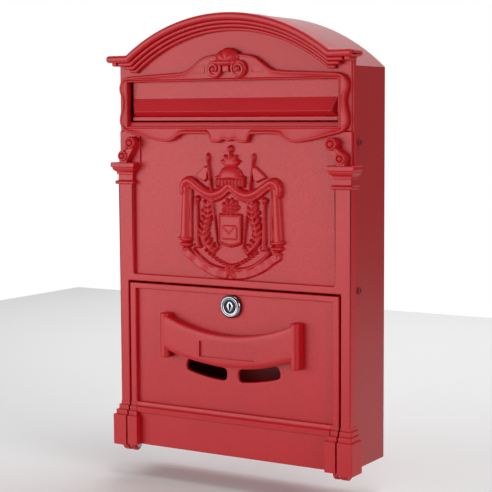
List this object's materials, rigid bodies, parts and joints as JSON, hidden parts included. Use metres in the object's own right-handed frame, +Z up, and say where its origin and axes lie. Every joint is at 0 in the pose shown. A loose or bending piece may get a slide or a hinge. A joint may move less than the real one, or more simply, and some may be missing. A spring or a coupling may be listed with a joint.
{
  "type": "mailbox",
  "caption": "Wall-mounted letterbox with an arched cast front, lift-up letter flap, drop-down door under a bowed pull hood, and a cam lock.",
  "frame": {"origin": "centre of the four wall-screw holes, on the back face", "axes": "+X to the right seen from the front, +Y back into the wall, +Z up"},
  "size_m": [0.262, 0.0805, 0.4162],
  "materials": {
    "cast_enamel": "satin textured red powder coat on cast aluminium",
    "sheet_enamel": "satin red powder coat on sheet steel",
    "screw_steel": "red painted screw heads",
    "bright_steel": "drawn bright steel",
    "spring_steel": "blued spring steel",
    "nylon": "natural nylon",
    "chrome_plate": "polished chrome on die-cast zinc",
    "zinc_plate": "bright zinc plate",
    "wafer_brass": "stamped brass"
  },
  "bodies": {
    "case": {"front_casting": "cast_enamel", "case_shell": "sheet_enamel", "back_panel": "sheet_enamel", "bottom_plate": "sheet_enamel", "side_screws": "screw_steel", "flap_hinge_rod": "bright_steel", "flap_rod_clips": "spring_steel", "door_hinge_pins": "bright_steel"},
    "flap": {"slot_flap": "cast_enamel"},
    "door": {"door": "cast_enamel", "hinge_washers": "nylon", "lock_housing": "chrome_plate", "lock_nut": "zinc_plate"},
    "lock": {"lock_plug": "chrome_plate", "lock_wafers": "wafer_brass", "stop_washer": "zinc_plate", "lock_cam": "zinc_plate", "cam_screw_washer": "zinc_plate", "cam_screw": "zinc_plate"}
  },
  "joints": [
    {"name": "door_hinge", "type": "hinge", "parent": "case", "child": "door", "pos_m": [0, -0.0655, -0.205], "axis": [1, 0, 0], "range_deg": [0, 95]},
    {"name": "flap_hinge", "type": "hinge", "parent": "case", "child": "flap", "pos_m": [0, -0.0635, 0.1466], "axis": [-1, 0, 0], "range_deg": [0, 50]},
    {"name": "lock_turn", "type": "hinge", "parent": "door", "child": "lock", "pos_m": [0, -0.0565, -0.063], "axis": [0, -1, 0], "range_deg": [0, 90]}
  ]
}
